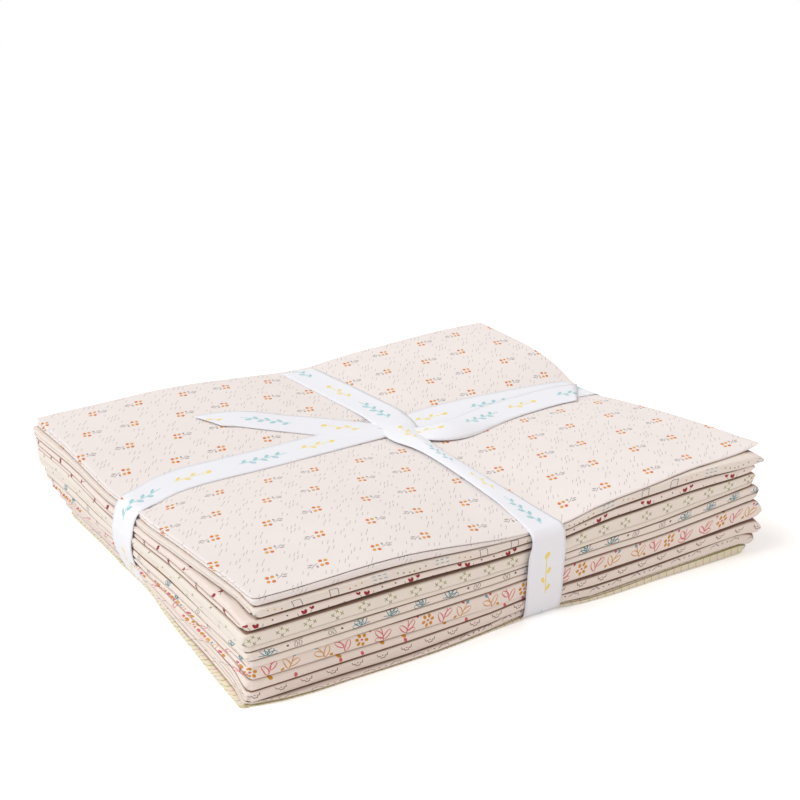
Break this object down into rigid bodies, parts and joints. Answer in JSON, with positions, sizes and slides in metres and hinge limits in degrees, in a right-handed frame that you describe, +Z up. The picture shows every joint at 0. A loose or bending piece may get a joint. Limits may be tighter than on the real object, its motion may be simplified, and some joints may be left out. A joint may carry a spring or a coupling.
{
  "type": "one-yard fabric bundle",
  "caption": "Stack of folded printed quilting cottons, each cut folded to a flat rectangle, tied both ways with a narrow satin ribbon and a flat knot with two slanted ends.",
  "frame": {"origin": "middle of the footprint, on the surface that the bundle rests on", "axes": "+X along the long front side, +Y from the front side to the back, +Z up"},
  "size_m": [0.2871, 0.2348, 0.0649],
  "materials": {
    "cotton_sprig_rain": "printed plain-weave cotton, matt",
    "cotton_dots_dashes": "printed plain-weave cotton, matt",
    "cotton_hearts": "printed plain-weave cotton, matt",
    "cotton_cross_stitch": "printed plain-weave cotton, matt",
    "cotton_leaf_fans": "printed plain-weave cotton, matt",
    "cotton_daisies": "printed plain-weave cotton, matt",
    "cotton_scallops": "printed plain-weave cotton, matt",
    "cotton_clouds": "printed plain-weave cotton, matt",
    "cotton_plaid": "printed plain-weave cotton, matt",
    "ribbon_satin": "white woven satin ribbon, soft sheen, small print in teal and yellow"
  },
  "bodies": {
    "root": {"cut_1": "cotton_sprig_rain", "cut_2": "cotton_dots_dashes", "cut_3": "cotton_hearts", "cut_4": "cotton_cross_stitch", "cut_5": "cotton_leaf_fans", "cut_6": "cotton_daisies", "cut_7": "cotton_scallops", "cut_8": "cotton_clouds", "cut_9": "cotton_plaid", "ribbon_tie": "ribbon_satin"}
  },
  "joints": []
}
